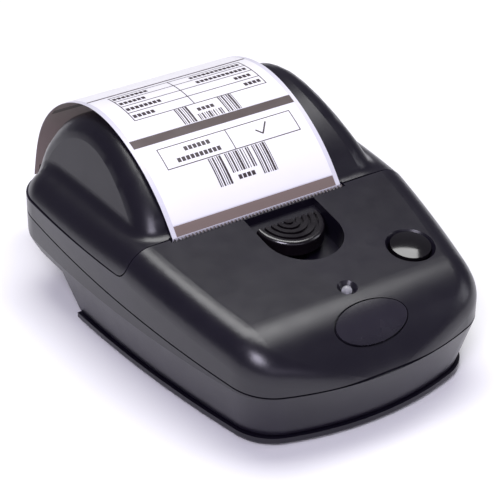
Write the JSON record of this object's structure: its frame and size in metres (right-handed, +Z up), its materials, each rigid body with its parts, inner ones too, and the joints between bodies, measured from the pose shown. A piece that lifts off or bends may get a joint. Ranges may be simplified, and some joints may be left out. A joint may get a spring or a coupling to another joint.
{
  "type": "label printer",
  "caption": "Portable thermal label printer with a clamshell lid over a drop-in label roll, a tear bar, a release tongue, a feed button and a battery door.",
  "frame": {"origin": "on the table under the middle of the overall length, case front to hanging label end", "axes": "+Z up, +Y from front to rear, +X to the right seen from the front"},
  "size_m": [0.103, 0.148, 0.0622],
  "materials": {
    "case": "satin moulded",
    "latch": "glossy moulded",
    "button": "polished",
    "badge": "fine matt",
    "steel": "rolled",
    "rubber": "matt",
    "cell": "film sleeve",
    "board": "solder mask",
    "chip": "moulded",
    "lamp": "clear",
    "gear": "moulded",
    "ceramic": "glazed strip",
    "aluminium": "extruded",
    "brass": "turned",
    "paper": "coated",
    "card": "wound",
    "inner": "moulded"
  },
  "bodies": {
    "base": {"base_housing": "case", "base_plate": "case", "rubber_feet": "rubber", "case_screws": "steel", "battery_cells": "cell", "battery_contacts": "steel", "main_board": "board", "board_components": "chip", "top_cover": "case", "nose_badge": "badge", "tear_bar": "steel", "latch_spring": "steel", "feed_switch": "chip", "panel_board": "board", "status_lamp": "lamp", "chassis": "steel", "gear_plate": "steel", "stepper_motor": "steel", "idler_axle": "steel", "print_head": "ceramic", "head_heatsink": "aluminium", "head_springs": "steel", "roll_spindle": "inner", "roll_holders": "inner", "label_web": "paper", "hinge_pin": "steel", "data_port": "inner", "power_inlet": "inner", "paper_sensor": "chip"},
    "lid": {"paper_lid": "case", "platen_bushings": "brass", "label_strip": "paper"},
    "platen": {"platen_rubber": "rubber", "platen_shaft": "steel", "platen_gear": "gear"},
    "idler": {"idler_gear": "gear"},
    "pinion": {"motor_pinion": "gear"},
    "roll": {"label_roll": "paper", "roll_core": "card"},
    "latch": {"release_latch": "latch"},
    "button": {"feed_button": "button"},
    "door": {"battery_door": "case"}
  },
  "joints": [
    {"name": "lid_hinge", "type": "hinge", "parent": "base", "child": "lid", "pos_m": [0, 0.0525, 0.031], "axis": [-1, 0, 0], "range_deg": [0, 75]},
    {"name": "roll_spin", "type": "hinge", "parent": "base", "child": "roll", "pos_m": [0, 0.0275, 0.0365], "axis": [1, 0, 0], "continuous": true},
    {"name": "platen_spin", "type": "hinge", "parent": "lid", "child": "platen", "pos_m": [0, -0.0089, 0.0318], "axis": [1, 0, 0], "continuous": true},
    {"name": "idler_spin", "type": "hinge", "parent": "base", "child": "idler", "pos_m": [0, -0.01417, 0.01733], "axis": [1, 0, 0], "continuous": true},
    {"name": "pinion_spin", "type": "hinge", "parent": "base", "child": "pinion", "pos_m": [0, -0.02489, 0.02633], "axis": [1, 0, 0], "continuous": true},
    {"name": "latch_slide", "type": "slide", "parent": "base", "child": "latch", "axis": [0, -1, 0], "range_m": [0, 0.003], "stiffness_N_per_m": 300},
    {"name": "button_press", "type": "slide", "parent": "base", "child": "button", "axis": [0, 0.1377, -0.9905], "range_m": [0, 0.0012], "stiffness_N_per_m": 300},
    {"name": "door_slide", "type": "slide", "parent": "base", "child": "door", "axis": [0, 1, 0], "range_m": [0, 0.05]}
  ],
  "couplings": [
    {"joint": "platen_spin", "follows": "roll_spin", "ratio": 3.6667},
    {"joint": "idler_spin", "follows": "roll_spin", "ratio": -2.0952},
    {"joint": "pinion_spin", "follows": "roll_spin", "ratio": 4.8889}
  ]
}
